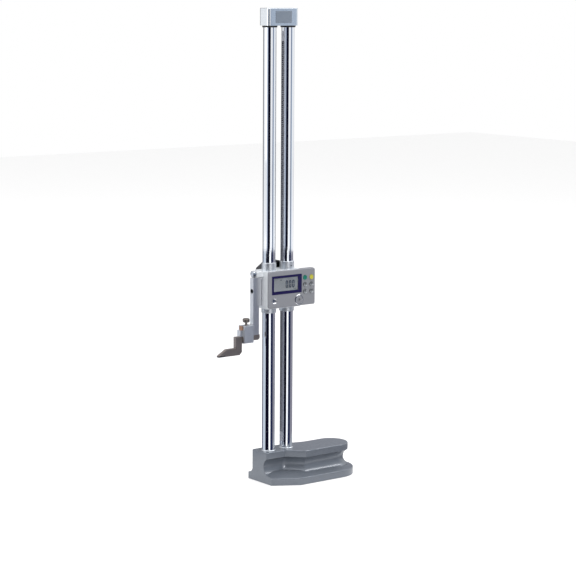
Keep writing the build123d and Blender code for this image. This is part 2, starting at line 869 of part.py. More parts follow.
def clamp_knob():
    # Knurled head and threaded spindle; the spindle's tip backs the pad.
    seat = clamp_boss_end - clamp_travel - head_clearance
    knob = rod_x(0, clamp_z, seat - clamp_knob_length, seat, clamp_knob_radius)
    knob = chamfer(knob.edges().filter_by(GeomType.CIRCLE), clamp_knob_edge)
    tip = -column_radius - clamp_travel - clamp_pad_length
    return knob + rod_x(0, clamp_z, seat, tip, clamp_screw_radius)


# ---------------------------------------------------------------- drive cover
def cover_outline(inset):
    low = rest_height + cover_bottom_gap + inset
    left = cover_left + inset
    right = body_right - inset
    high = body_top + cover_rise - inset
    shoulder = body_top - inset
    return [
        (left, low), (right, low), (right, shoulder), (right - cover_slope_run, high),
        (left + cover_slope_run, high), (left, shoulder),
    ]


def drive_cover():
    shape = side_profile(cover_outline(0), body_rear, cover_back)
    shape = fillet(edges_at(shape, Axis.Y, cover_back), cover_wall)
    shape -= side_profile(cover_outline(cover_wall), body_rear, cover_back - cover_wall)
    shape -= rod_y(feed_x, feed_z, body_rear, cover_back, shaft_radius + head_clearance)
    seat = cover_back - cover_wall
    for x, z in cover_screw_places():
        shape += rod_y(x, z, body_rear, seat + cover_wall / 2, screw_head_radius + pillar_wall)
        shape -= rod_y(x, z, body_rear, cover_back, screw_shank_radius + head_clearance)
        shape -= rod_y(x, z, seat, cover_back, screw_head_radius + head_clearance)
    return shape


def drive_cover_screws():
    shapes = []
    seat = cover_back - cover_wall
    for x, z in cover_screw_places():
        head = rod_y(x, z, seat, seat + screw_shank_radius, screw_head_radius)
        shapes.append(head + rod_y(x, z, body_rear - cover_screw_reach, seat, screw_shank_radius))
    return Compound(shapes)


# ---------------------------------------------------------------- display
key_names = ["key_green", "key_yellow", "key_grey_1", "key_grey_2", "key_grey_3", "key_grey_4"]


def key_places():
    places = []
    for row in range(key_rows):
        for column in range(key_columns):
            z = display_bottom + key_top_z - row * key_pitch_z
            places.append((key_column_x + column * key_pitch_x, z))
    return places


def display_case():
    shape = block(body_left, display_right, display_front, body_front, display_bottom, display_top)
    shape = fillet(shape.edges().filter_by(Axis.Y), display_corner)
    shape = fillet(edges_at(shape, Axis.Y, display_front), display_edge)
    hollow = block(
        body_left + display_wall, display_right - display_wall, case_inside, body_front,
        display_bottom + display_wall, display_top - display_wall,
    )
    shape -= hollow
    bezel_z = display_bottom + bezel_bottom
    shape -= block(
        bezel_left - seat_clearance, bezel_right + seat_clearance, display_front, case_inside,
        bezel_z - seat_clearance, bezel_z + bezel_height + seat_clearance,
    )
    for x, z in key_places():
        shape -= rod_y(x, z, display_front, case_inside, key_radius + key_clearance)
    socket_height = display_bottom + socket_z
    shape -= rod_y(socket_x, socket_height, display_front, case_inside, socket_radius + seat_clearance)
    boss_radius = screw_recess_radius + screw_recess_wall
    hole_radius = screw_shank_radius + head_clearance
    recess_back = case_inside + display_wall
    shape += rod_y(case_screw_x, case_screw_height, case_inside, body_front, boss_radius)
    shape -= rod_y(case_screw_x, case_screw_height, display_front, recess_back, screw_recess_radius)
    shape -= rod_y(case_screw_x, case_screw_height, recess_back, body_front, hole_radius)
    return shape


def display_rear_shell():
    left = body_right + seat_clearance
    shape = block(left, display_right, body_front, shell_back, display_bottom, display_top)
    shape = fillet(edges_at(shape, Axis.Y, shell_back), display_corner)
    inside_back = shell_back - display_wall
    shape -= block(
        left + display_wall, display_right - display_wall, body_front, inside_back,
        display_bottom + display_wall, display_top - display_wall,
    )
    opening = battery_radius + 2 * head_clearance
    return shape - rod_y(battery_x, battery_height, inside_back, shell_back, opening)


def battery():
    back = shell_back - display_wall
    cell = rod_y(battery_x, battery_height, back - battery_thickness, back, battery_radius)
    return chamfer(cell.edges().filter_by(GeomType.CIRCLE), battery_edge)


def battery_tray():
    # A clip ring on the back of the circuit board that carries the cell.
    back = shell_back - display_wall
    front = board_front + board_thickness
    rim = back - battery_clip_inset
    ring = rod_y(battery_x, battery_height, front, rim, battery_radius + display_wall)
    pocket_radius = battery_radius + seat_clearance
    return ring - rod_y(battery_x, battery_height, back - battery_thickness, back, pocket_radius)


def battery_cover():
    front = shell_back - display_wall
    half_slot = battery_slot / 2
    disc = rod_y(battery_x, battery_height, front, shell_back, battery_radius + head_clearance)
    slot = block(
        battery_x - battery_radius / 2, battery_x + battery_radius / 2, shell_back - display_wall / 2,
        shell_back, battery_height - half_slot, battery_height + half_slot,
    )
    return disc - slot


def bezel():
    z = display_bottom + bezel_bottom
    front = display_front - bezel_proud
    shape = block(bezel_left, bezel_right, front, case_inside, z, z + bezel_height)
    shape = fillet(shape.edges().filter_by(Axis.Y), bezel_corner)
    shape -= block(
        bezel_left + bezel_left_frame, bezel_right - bezel_right_frame, front, case_inside,
        z + bezel_bottom_frame, z + bezel_height - bezel_top_frame,
    )
    return shape


def window_sides():
    # Left, right, bottom and top of the window, which drops into the bezel's frame.
    z = display_bottom + bezel_bottom
    left = bezel_left + bezel_left_frame + seat_clearance
    right = bezel_right - bezel_right_frame - seat_clearance
    low = z + bezel_bottom_frame + seat_clearance
    high = z + bezel_height - bezel_top_frame - seat_clearance
    return left, right, low, high


def display_window():
    left, right, low, high = window_sides()
    return block(left, right, display_front, case_inside, low, high)


def lcd_panel():
    left, right, low, high = window_sides()
    front = case_inside + running_clearance
    return block(
        left - lcd_margin, right + lcd_margin, front, front + lcd_thickness,
        low - lcd_margin, high + lcd_margin,
    )


def circuit_board():
    left = body_left + display_wall + board_margin
    right = display_right - display_wall - board_margin
    low = display_bottom + display_wall + board_margin
    high = display_top - display_wall - board_margin
    back = board_front + board_thickness
    shape = block(left, right, board_front, back, low, high)

    # The lower left corner is cut away round the case screw's boss.
    reach = screw_recess_radius + screw_recess_wall + head_clearance
    shape -= rod_y(case_screw_x, case_screw_height, board_front, back, reach)
    return shape - block(left, case_screw_x, board_front, back, low, case_screw_height)


def key_switches():
    # Six low snap domes on the board, one under each key.
    shapes = []
    front = board_front - dome_height
    for x, z in key_places():
        dome = rod_y(x, z, front, board_front, dome_radius)
        shapes.append(chamfer(edges_at(dome, Axis.Y, front), dome_edge))
    return Compound(shapes)


def key(x, z):
    # The flange behind the cap stops on the case, and after its travel just short of the dome.
    front = display_front - key_proud
    flange_front = case_inside + key_gap
    flange_back = board_front - dome_height - key_travel - key_gap
    cap = rod_y(x, z, front, flange_front, key_radius)
    cap = fillet(edges_at(cap, Axis.Y, front), key_edge)
    return cap + rod_y(x, z, flange_front, flange_back, key_radius + key_flange)


def probe_socket():
    z = display_bottom + socket_z
    front = display_front - socket_proud
    shape = rod_y(socket_x, z, front, case_inside, socket_radius)
    shape = fillet(edges_at(shape, Axis.Y, front), socket_edge)
    shape -= rod_y(socket_x, z, front, front + socket_sink, socket_radius - socket_rim)
    return shape - rod_y(socket_x, z, front, case_inside - socket_back_wall, socket_hole_radius)


def case_screw():
    z = case_screw_height
    seat = case_inside + display_wall
    head_front = seat - screw_shank_radius
    half_slot = screw_slot / 2
    head = rod_y(case_screw_x, z, head_front, seat, screw_head_radius)
    slot = block(
        case_screw_x - screw_head_radius, case_screw_x + screw_head_radius, head_front,
        head_front + screw_shank_radius / 2, z - half_slot, z + half_slot,
    )
    shank = rod_y(case_screw_x, z, seat, body_front + case_screw_reach, screw_shank_radius)
    return head - slot + shank


# ---------------------------------------------------------------- arm, clamp box and scriber
def nearest_edge(shape, x, z):
    # The edge along Y that passes closest to this place in side view.
    return shape.edges().filter_by(Axis.Y).sort_by_distance((x, 0, z))[0]


def scriber_arm():
    arm_right = arm_left + arm_width
    web_bottom = rest_height + arm_web_bottom
    top = rest_height + arm_top
    half = arm_depth / 2
    outline = [
        (arm_left, top), (arm_left, jaw_top), (jaw_end, jaw_top), (jaw_end, jaw_bottom),
        (arm_right, jaw_bottom), (arm_right, web_bottom), (body_left, web_bottom), (body_left, top),
    ]
    shape = side_profile(outline, -half, half)
    shape = fillet(nearest_edge(shape, arm_right, jaw_bottom), arm_edge)
    shape = fillet(nearest_edge(shape, arm_right, web_bottom), arm_web_fillet)
    groove_left = arm_right + arm_groove_inset
    groove_right = groove_left + arm_groove_width
    groove_top = top - arm_groove_end
    for side in (-half, half):
        front = side - arm_groove_depth
        shape -= block(groove_left, groove_right, front, side + arm_groove_depth, web_bottom, groove_top)
    shape -= rod_x(0, arm_screw_z, arm_left, arm_left + arm_hole_depth, arm_hole_radius)
    shape -= rod_x(0, arm_screw_z, arm_left, body_left, arm_screw_radius + head_clearance)
    for z in dowel_heights():
        shape -= rod_x(0, z, body_left - dowel_depth, body_left, dowel_radius + seat_clearance)
    return shape


def arm_screw():
    seat = arm_left + arm_hole_depth
    head_left = seat - 2 * arm_screw_radius
    head = rod_x(0, arm_screw_z, head_left, seat, arm_screw_head)
    shank = rod_x(0, arm_screw_z, seat, -sleeve_radius, arm_screw_radius)
    hexagon = RegularPolygon(arm_screw_radius * socket_ratio, 6)
    hexagon = Pos(head_left, 0, arm_screw_z) * Rot(0, 90, 0) * hexagon
    recess = extrude(hexagon, arm_screw_radius, dir=(1, 0, 0))
    return head + shank - recess


def arm_dowels():
    return Compound([
        rod_x(0, z, body_left - dowel_depth, -sleeve_radius, dowel_radius) for z in dowel_heights()
    ])


def scriber_clamp():
    half = arm_depth / 2 + jaw_clearance
    outer = half + box_wall
    shape = block(box_left, box_right, -outer, outer, box_low, box_high)
    shape = fillet(shape.edges().filter_by(Axis.X), box_edge)
    shape -= block(box_left, box_right, -half, half, box_low + box_floor, window_top + clamp_lift)
    shape -= post(box_middle, 0, window_top, box_high, thumb_thread_radius + thread_clearance)
    return shape


def pressure_leaf():
    # A copper leaf on top of the jaw; its turned-up end keeps it in the box.
    half = arm_depth / 2 - jaw_clearance
    lip_right = box_left - 2 * jaw_clearance
    lip_left = lip_right - leaf_thickness
    shape = block(lip_left, box_right, -half, half, jaw_top, jaw_top + leaf_thickness)
    return shape + block(lip_left, lip_right, -half, half, jaw_top, jaw_top + leaf_lip)


def thumb_screw():
    tip = jaw_top + leaf_thickness
    stem_top = box_high + thumb_stem
    stem = post(box_middle, 0, tip, stem_top, thumb_thread_radius)
    head = post(box_middle, 0, stem_top, stem_top + thumb_height, thumb_radius)
    head = fillet(head.edges().filter_by(GeomType.CIRCLE), thumb_edge)
    return head + stem


def scriber():
    half = scriber_width / 2
    top = jaw_bottom - jaw_clearance
    shank_low = top - scriber_height
    leg_right = scriber_leg_left + scriber_leg_width
    face = top - scriber_drop
    tip_x = scriber_leg_left - beak_reach
    flat_x = scriber_leg_left - beak_flat
    beak_top = face + beak_height
    outline = [
        (scriber_back, top), (scriber_leg_left, top), (scriber_leg_left, beak_top), (flat_x, beak_top),
        (tip_x, face + tip_height), (tip_x + tip_length, face + tip_height), (tip_x + tip_length, face),
        (leg_right - beak_heel, face), (leg_right, face + beak_heel), (leg_right, shank_low),
        (scriber_back, shank_low),
    ]
    shape = side_profile(outline, -half, half)
    shape = fillet(nearest_edge(shape, scriber_back, shank_low), scriber_height / 2)
    return fillet(nearest_edge(shape, leg_right, shank_low), scriber_knee)


def scriber_tip():
    half = scriber_width / 2
    face = jaw_bottom - jaw_clearance - scriber_drop
    tip_x = scriber_leg_left - beak_reach
    outline = [
        (tip_x, face), (tip_x + tip_length, face), (tip_x + tip_length, face + tip_height),
        (tip_x, face + tip_height),
    ]
    shape = side_profile(outline, -half, half)
    return chamfer(nearest_edge(shape, tip_x, face + tip_height), tip_slope)


# ---------------------------------------------------------------- files
def build_all():
    os.makedirs("parts", exist_ok=True)
    save("base", base())
    save("main_column", plain_column(columns[0]))
    save("sub_column", sub_column())
    save("feed_rack", feed_rack())
    save("rack_screws", rack_screws())
    save("column_collars", column_collars())
    save("column_screws", column_screws())
    save("top_cap", top_cap())
    save("cap_plate", cap_plate())
    save("cap_screws", cap_screws())
    save("column_buffers", column_buffers())
    save("slider_body", slider_body())
    save("upper_guide_sleeves", upper_guide_sleeves())
    save("lower_guide_sleeves", lower_guide_sleeves())
    save("sleeve_set_screw", sleeve_set_screw())
    save("feed_pinion", feed_pinion())
    save("feed_shaft", feed_shaft())
    save("feed_front_bush", feed_front_bush())
    save("feed_rear_bush", feed_rear_bush())
    save("brake_washer", brake_washer())
    save("brake_spring", brake_spring())
    save("drive_cover", drive_cover())
    save("drive_cover_screws", drive_cover_screws())
    save("feed_wheel", feed_wheel())
    save("wheel_screw", wheel_screw())
    save("finger_knob_pin", finger_knob_pin())
    save("finger_knob", finger_knob())
    save("encoder_pinion", encoder_pinion())
    save("encoder_rotor", encoder_rotor())
    save("encoder_front_bush", encoder_front_bush())
    save("encoder_rear_bush", encoder_rear_bush())
    save("clamp_pad", clamp_pad())
    save("clamp_knob", clamp_knob())
    save("display_case", display_case())
    save("display_rear_shell", display_rear_shell())
    save("bezel", bezel())
    save("display_window", display_window())
    save("lcd_panel", lcd_panel())
    save("circuit_board", circuit_board())
    save("key_switches", key_switches())
    for name, (x, z) in zip(key_names, key_places()):
        save(name, key(x, z))
    save("probe_socket", probe_socket())
    save("case_screw", case_screw())
    save("battery_tray", battery_tray())
    save("battery", battery())
    save("battery_cover", battery_cover())
    save("scriber_arm", scriber_arm())
    save("arm_screw", arm_screw())
    save("arm_dowels", arm_dowels())
    save("scriber_clamp", scriber_clamp())
    save("pressure_leaf", pressure_leaf())
    save("thumb_screw", thumb_screw())
    save("scriber", scriber())
    save("scriber_tip", scriber_tip())


if __name__ == "__main__":
    build_all()
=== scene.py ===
import math
import bmesh
import bpy
from mathutils import Matrix, Vector


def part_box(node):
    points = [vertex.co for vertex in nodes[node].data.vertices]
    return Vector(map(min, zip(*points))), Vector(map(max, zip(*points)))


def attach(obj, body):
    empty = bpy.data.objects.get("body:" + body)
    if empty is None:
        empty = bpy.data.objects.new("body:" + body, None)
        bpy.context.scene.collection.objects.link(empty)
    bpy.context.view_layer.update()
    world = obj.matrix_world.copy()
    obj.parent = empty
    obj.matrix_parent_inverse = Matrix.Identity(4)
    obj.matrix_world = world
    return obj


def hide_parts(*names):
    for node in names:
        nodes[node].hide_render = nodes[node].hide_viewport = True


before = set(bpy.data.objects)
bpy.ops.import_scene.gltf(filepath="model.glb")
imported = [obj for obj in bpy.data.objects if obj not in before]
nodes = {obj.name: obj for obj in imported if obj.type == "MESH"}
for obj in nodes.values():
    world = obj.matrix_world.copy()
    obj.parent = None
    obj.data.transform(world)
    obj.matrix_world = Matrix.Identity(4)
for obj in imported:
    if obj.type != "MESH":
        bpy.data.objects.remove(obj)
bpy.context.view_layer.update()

# ---- Base ----------------------------------------------------------------------------------------
# An iron casting under blue-grey baked enamel. The enamel is sprayed over flake, so it has a fine
# orange peel and a slight sparkle, and it thins to a paler grey where it was sprayed less.
PALE_ENAMEL = (0.200, 0.223, 0.260)
DEEP_ENAMEL = (0.146, 0.165, 0.198)
NOISE_LOW = 0.3
NOISE_HIGH = 0.7


def principled(material):
    return material.node_tree.nodes["Principled BSDF"]


def new_finish(name, colour, metallic, roughness):
    material = bpy.data.materials.new(name)
    material.use_nodes = True
    shader = principled(material)
    shader.inputs["Base Color"].default_value = (*colour, 1)
    shader.inputs["Metallic"].default_value = metallic
    shader.inputs["Roughness"].default_value = roughness
    return material


def speckle(material, grain, stretch=(1, 1, 1), detail=3):
    # Noise in the piece's own space: grain is its size in metres, and stretch lengthens it along
    # x, y and z.
    tree = material.node_tree
    place = tree.nodes.new("ShaderNodeTexCoord")
    mapping = tree.nodes.new("ShaderNodeMapping")
    mapping.inputs["Scale"].default_value = [1 / (grain * times) for times in stretch]
    noise = tree.nodes.new("ShaderNodeTexNoise")
    noise.inputs["Scale"].default_value = 1
    noise.inputs["Detail"].default_value = detail
    tree.links.new(place.outputs["Object"], mapping.inputs["Vector"])
    tree.links.new(mapping.outputs["Vector"], noise.inputs["Vector"])
    return noise.outputs["Fac"]


def spread(material, value, low, high):
    # Stretches the middle of the noise over the range from low to high.
    tree = material.node_tree
    node = tree.nodes.new("ShaderNodeMapRange")
    node.inputs["From Min"].default_value = NOISE_LOW
    node.inputs["From Max"].default_value = NOISE_HIGH
    node.inputs["To Min"].default_value = low
    node.inputs["To Max"].default_value = high
    tree.links.new(value, node.inputs["Value"])
    return node.outputs["Result"]


def vary_colour(material, value, first, second):
    # Sockets 6 and 7 are the mix node's two colours, and output 2 is the mixed one.
    tree = material.node_tree
    mix = tree.nodes.new("ShaderNodeMix")
    mix.data_type = "RGBA"
    mix.inputs[6].default_value = (*first, 1)
    mix.inputs[7].default_value = (*second, 1)
    tree.links.new(spread(material, value, 0, 1), mix.inputs["Factor"])
    tree.links.new(mix.outputs[2], principled(material).inputs["Base Color"])


def vary_roughness(material, value, low, high):
    varied = spread(material, value, low, high)
    material.node_tree.links.new(varied, principled(material).inputs["Roughness"])


def emboss(material, value, depth):
    tree = material.node_tree
    bump = tree.nodes.new("ShaderNodeBump")
    bump.inputs["Distance"].default_value = depth
    tree.links.new(value, bump.inputs["Height"])
    tree.links.new(bump.outputs["Normal"], principled(material).inputs["Normal"])


def dress(material, *names):
    for name in names:
        nodes[name].data.materials[0] = material


base_enamel = new_finish("blue_grey_enamel", PALE_ENAMEL, metallic=0.35, roughness=0.4)
vary_colour(base_enamel, speckle(base_enamel, 0.0011, detail=6), DEEP_ENAMEL, PALE_ENAMEL)
vary_roughness(base_enamel, speckle(base_enamel, 0.004), low=0.34, high=0.46)
emboss(base_enamel, speckle(base_enamel, 0.0013, detail=2), depth=0.00006)
principled(base_enamel).inputs["Coat Weight"].default_value = 0.4
principled(base_enamel).inputs["Coat Roughness"].default_value = 0.07
dress(base_enamel, "base")

# ---- Columns -------------------------------------------------------------------------------------
# Two ground bars with a hard chrome skin, polished until they mirror the room. The plating keeps
# very faint grinding marks that run round the bar.


def plating(name, colour, roughness, mark):
    material = new_finish(name, colour, metallic=1, roughness=roughness)
    rings = speckle(material, mark, stretch=(60, 60, 1), detail=2)
    vary_roughness(material, rings, low=roughness * 0.7, high=roughness * 1.3)
    emboss(material, rings, depth=0.0000006)
    return material


column_chrome = plating("hard_chrome", (0.80, 0.83, 0.88), roughness=0.04, mark=0.0009)
dress(column_chrome, "main_column", "sub_column")

# ---- Rack ----------------------------------------------------------------------------------------
# A hardened steel bar with cut teeth, screwed into a slot along the second column. It keeps the
# blue-grey of its heat treatment under a film of oil, duller than the chrome round it.
rack_steel = new_finish("oiled_rack_steel", (0.43, 0.44, 0.49), metallic=1, roughness=0.4)
vary_colour(rack_steel, speckle(rack_steel, 0.003), (0.36, 0.37, 0.41), (0.50, 0.51, 0.56))
vary_roughness(rack_steel, speckle(rack_steel, 0.0006, stretch=(1, 12, 1)), low=0.36, high=0.54)
dress(rack_steel, "feed_rack", "rack_screws")

# ---- Collars and guide sleeves -------------------------------------------------------------------
# Rings turned in steel and plated satin: collars at the columns' feet, and the sleeves that guide
# the slider. The lathe's feed marks run round them.


def turned_steel(name, colour, roughness):
    material = new_finish(name, colour, metallic=1, roughness=roughness)
    rings = speckle(material, 0.00025, stretch=(40, 40, 1), detail=4)
    vary_roughness(material, rings, low=roughness * 0.75, high=roughness * 1.35)
    emboss(material, rings, depth=0.000006)
    return material


sleeve_steel = turned_steel("turned_satin_steel", (0.66, 0.69, 0.73), roughness=0.4)
dress(sleeve_steel, "upper_guide_sleeves", "lower_guide_sleeves", "column_collars")

# ---- Small screws --------------------------------------------------------------------------------
# Steel screws with a black oxide skin that is a little worn and oily. They hold the columns, the
# cap, one of the guide sleeves, the drive cover and the arm.
black_oxide = new_finish("black_oxide", (0.022, 0.022, 0.026), metallic=0.7, roughness=0.38)
vary_roughness(black_oxide, speckle(black_oxide, 0.0008), low=0.3, high=0.5)
dress(
    black_oxide, "column_screws", "cap_screws", "sleeve_set_screw", "drive_cover_screws", "arm_screw",
)

# ---- Cap, cap plate and buffers ------------------------------------------------------------------
# The cap joins the columns' tops and is plated with satin chrome. A thin brushed plate is let into
# its front, and two rubber rings under it meet the slider at the top of its travel.
cap_chrome = new_finish("satin_chrome_cap", (0.78, 0.82, 0.87), metallic=1, roughness=0.2)
vary_roughness(cap_chrome, speckle(cap_chrome, 0.005, detail=4), low=0.17, high=0.23)
emboss(cap_chrome, speckle(cap_chrome, 0.0005, detail=2), depth=0.000001)
dress(cap_chrome, "top_cap")

plate_finish = new_finish("brushed_cap_plate", (0.38, 0.42, 0.47), metallic=0.85, roughness=0.34)
plate_lines = speckle(plate_finish, 0.00018, stretch=(60, 1, 1), detail=3)
vary_roughness(plate_finish, plate_lines, low=0.26, high=0.44)
emboss(plate_finish, plate_lines, depth=0.000004)
dress(plate_finish, "cap_plate")

buffer_rubber = new_finish("buffer_rubber", (0.018, 0.018, 0.02), metallic=0, roughness=0.62)
vary_roughness(buffer_rubber, speckle(buffer_rubber, 0.0012), low=0.52, high=0.72)
emboss(buffer_rubber, speckle(buffer_rubber, 0.0005), depth=0.00003)
dress(buffer_rubber, "column_buffers")

# ---- Slider body ---------------------------------------------------------------------------------
# A casting that is machined all over and plated with satin chrome, with a very fine blasted grain.
# It rides both columns on its sleeves and carries the drive, the display and the arm.
satin_plate = new_finish("satin_chrome_casting", (0.82, 0.85, 0.88), metallic=0.3, roughness=0.42)
vary_roughness(satin_plate, speckle(satin_plate, 0.006, detail=4), low=0.36, high=0.48)
emboss(satin_plate, speckle(satin_plate, 0.0004, detail=2), depth=0.000012)
dress(satin_plate, "slider_body")

# ---- Drive ---------------------------------------------------------------------------------------
# The cover, feed wheel and finger knob are black moulded plastic with a fine spark texture, and the
# wheel and knob shine from handling. Inside, ground shafts and pinions run in bronze bushes.


def moulding(name, colour, roughness, depth=0.00002):
    material = new_finish(name, colour, metallic=0, roughness=roughness)
    patches = speckle(material, 0.005, detail=4)
    vary_roughness(material, patches, low=roughness * 0.85, high=roughness * 1.15)
    emboss(material, speckle(material, 0.0004, detail=2), depth)
    return material


cover_plastic = moulding("black_cover_plastic", (0.02, 0.021, 0.028), roughness=0.5)
dress(cover_plastic, "drive_cover", "battery_cover", "battery_tray")
wheel_plastic = moulding("black_wheel_plastic", (0.018, 0.018, 0.02), roughness=0.36, depth=0.000008)
dress(wheel_plastic, "feed_wheel", "finger_knob")

shaft_steel = turned_steel("ground_shaft_steel", (0.62, 0.63, 0.65), roughness=0.2)
dress(shaft_steel, "feed_pinion", "feed_shaft", "encoder_pinion", "brake_spring")
dress(shaft_steel, "wheel_screw", "finger_knob_pin")
bush_bronze = turned_steel("bush_bronze", (0.60, 0.42, 0.20), roughness=0.32)
dress(bush_bronze, "feed_front_bush", "feed_rear_bush", "encoder_front_bush", "encoder_rear_bush")
dress(bush_bronze, "clamp_pad")

brake_fibre = new_finish("brake_fibre", (0.32, 0.15, 0.06), metallic=0, roughness=0.7)
fibre_strands = speckle(brake_fibre, 0.0006, detail=5)
vary_colour(brake_fibre, fibre_strands, (0.26, 0.11, 0.04), (0.38, 0.2, 0.09))
dress(brake_fibre, "brake_washer")

# ---- Display case --------------------------------------------------------------------------------
# Moulded grey front and rear halves under a fine lacquer, with a navy bezel round the window. They
# hold a green board with the key switches and the battery.
case_grey = moulding("grey_case_lacquer", (0.265, 0.28, 0.305), roughness=0.46)
case_flake = speckle(case_grey, 0.0007, detail=4)
vary_colour(case_grey, case_flake, (0.245, 0.252, 0.282), (0.285, 0.292, 0.322))
dress(case_grey, "display_case", "display_rear_shell", "probe_socket")
bezel_navy = moulding("navy_bezel", (0.012, 0.008, 0.068), roughness=0.22, depth=0.000004)
dress(bezel_navy, "bezel")
board_green = moulding("circuit_board", (0.012, 0.11, 0.04), roughness=0.4)
dress(board_green, "circuit_board", "encoder_rotor")
dome_steel = turned_steel("dome_steel", (0.7, 0.7, 0.72), roughness=0.2)
dress(dome_steel, "key_switches", "battery", "case_screw", "arm_dowels")

# ---- Liquid crystal panel and window -------------------------------------------------------------
# A grey reflective panel behind a clear window that drops into the bezel's frame. The panel has the
# faint cloudiness of its polarising film.
panel_grey = new_finish("lcd_grey", (0.50, 0.52, 0.53), metallic=0.1, roughness=0.42)
panel_cloud = speckle(panel_grey, 0.0005, detail=2)
vary_colour(panel_grey, panel_cloud, (0.48, 0.50, 0.51), (0.53, 0.55, 0.555))
dress(panel_grey, "lcd_panel")
window_clear = new_finish("clear_window", (0.94, 0.96, 0.97), metallic=0, roughness=0.04)
vary_roughness(window_clear, speckle(window_clear, 0.01), low=0.02, high=0.06)
principled(window_clear).inputs["Transmission Weight"].default_value = 1
principled(window_clear).inputs["IOR"].default_value = 1.2
dress(window_clear, "display_window")

# ---- Keys ----------------------------------------------------------------------------------------
# Six moulded keys with dished faces that fit a fingertip: a green, a yellow and four grey ones. Each
# slides in its own round hole with a small gap round it, and a skirt behind keeps it in the case.
X_AXIS, Y_AXIS = 0, 1
TURN_STEPS = 72
SHARP_EDGE = math.radians(34)
KEY_RADIUS = 0.0039
KEY_SKIRT_RADIUS = 0.0049
KEY_SKIRT_THICKNESS = 0.0007
# The dished face as (radius, share of the dish's depth), then the rounded rim as (radius, setback).
KEY_DISH = ((0, 1), (0.0014, 0.93), (0.0026, 0.62), (0.0033, 0.2), (0.0036, 0))
KEY_RIM = ((0.00385, 0.0002), (KEY_RADIUS, 0.0006))


def stand(name, data):
    made = bpy.data.objects.new(name, data)
    bpy.context.scene.collection.objects.link(made)
    return made


def finished_mesh(name, mesh):
    data = bpy.data.meshes.new(name)
    mesh.to_mesh(data)
    mesh.free()
    return data


def piece(name, mesh):
    data = finished_mesh(name, mesh)
    data.shade_smooth()
    data.set_sharp_from_angle(angle=SHARP_EDGE)
    return stand(name, data)


def turned(name, profile, centre, axis):
    # Spins a profile of (radius, place along the axis) about the x or y axis through centre.
    across = (axis + 1) % 3
    mesh = bmesh.new()
    corners = []
    for radius, place in profile:
        point = list(centre)
        point[axis] = place
        point[across] += radius
        corners.append(mesh.verts.new(point))
    edges = [mesh.edges.new(pair) for pair in zip(corners, corners[1:])]
    turn = Vector((0, 0, 0))
    turn[axis] = 1
    bmesh.ops.spin(
        mesh, geom=corners + edges, cent=centre, axis=turn, angle=2 * math.pi, steps=TURN_STEPS,
        use_merge=True,
    )
    bmesh.ops.remove_doubles(mesh, verts=mesh.verts, dist=0.000001)
    bmesh.ops.recalc_face_normals(mesh, faces=mesh.faces)
    return piece(name, mesh)


def settle(made, material, body, slot, *replaced):
    made.data.materials.append(material)
    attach(made, body)
    if replaced:
        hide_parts(*replaced)


def front_middle(low, high):
    # The middle of a box seen from the front, as the centre that turned() needs for the y axis.
    return ((low.x + high.x) / 2, 0, (low.z + high.z) / 2)


key_green = moulding("key_green", (0.004, 0.20, 0.14), roughness=0.3, depth=0.000004)
key_yellow = moulding("key_yellow", (0.60, 0.56, 0.06), roughness=0.3, depth=0.000004)
key_grey = moulding("key_grey", (0.30, 0.315, 0.33), roughness=0.24, depth=0.000003)
principled(key_grey).inputs["Metallic"].default_value = 0.7
# Each kind of key: its slot, its plastic, the depth of its dish, and its keys.
key_kinds = (
    ("key_green", key_green, 0.0005, ("key_green",)),
    ("key_yellow", key_yellow, 0.0005, ("key_yellow",)),
    ("key_grey", key_grey, 0.0011, ("key_grey_1", "key_grey_2", "key_grey_3", "key_grey_4")),
)
for key_slot, key_plastic, dish_depth, keys in key_kinds:
    for key in keys:
        key_low, key_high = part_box(key)
        skirt_front = key_high.y - KEY_SKIRT_THICKNESS
        key_profile = [(radius, key_low.y + dish_depth * share) for radius, share in KEY_DISH]
        key_profile += [(radius, key_low.y + setback) for radius, setback in KEY_RIM]
        key_profile += [
            (KEY_RADIUS, skirt_front), (KEY_SKIRT_RADIUS, skirt_front),
            (KEY_SKIRT_RADIUS, key_high.y), (0, key_high.y),
        ]
        key_cap = turned(key + "_cap", key_profile, front_middle(key_low, key_high), Y_AXIS)
        settle(key_cap, key_plastic, key, key_slot, key)

# ---- Screw cup -----------------------------------------------------------------------------------
# The case screw sits at the bottom of a turned cup washer in bright chrome, let into the lower left
# of the front. Its lip is rounded, and its inside narrows towards the screw.
CUP_RADIUS = 0.0053
CUP_LIP_RADIUS = 0.0050
CUP_MOUTH_RADIUS = 0.0047
CUP_HOLE_RADIUS = 0.0031
CUP_WALL = 0.0003
screw_low, screw_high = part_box("case_screw")
cup_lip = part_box("display_case")[0].y
cup_floor = screw_low.y + 0.0001
cup_back = cup_floor + CUP_WALL
cup_edge = (CUP_RADIUS, cup_lip + 0.00005)
cup_profile = [
    cup_edge, (CUP_LIP_RADIUS, cup_lip), (CUP_MOUTH_RADIUS, cup_lip + 0.0001),
    (CUP_HOLE_RADIUS, cup_floor), (CUP_HOLE_RADIUS, cup_back), (CUP_RADIUS, cup_back), cup_edge,
]
cup_chrome = plating("cup_chrome", (0.74, 0.75, 0.78), roughness=0.28, mark=0.0006)
screw_cup = turned("screw_cup", cup_profile, front_middle(screw_low, screw_high), Y_AXIS)
settle(screw_cup, cup_chrome, "slider", "chrome")

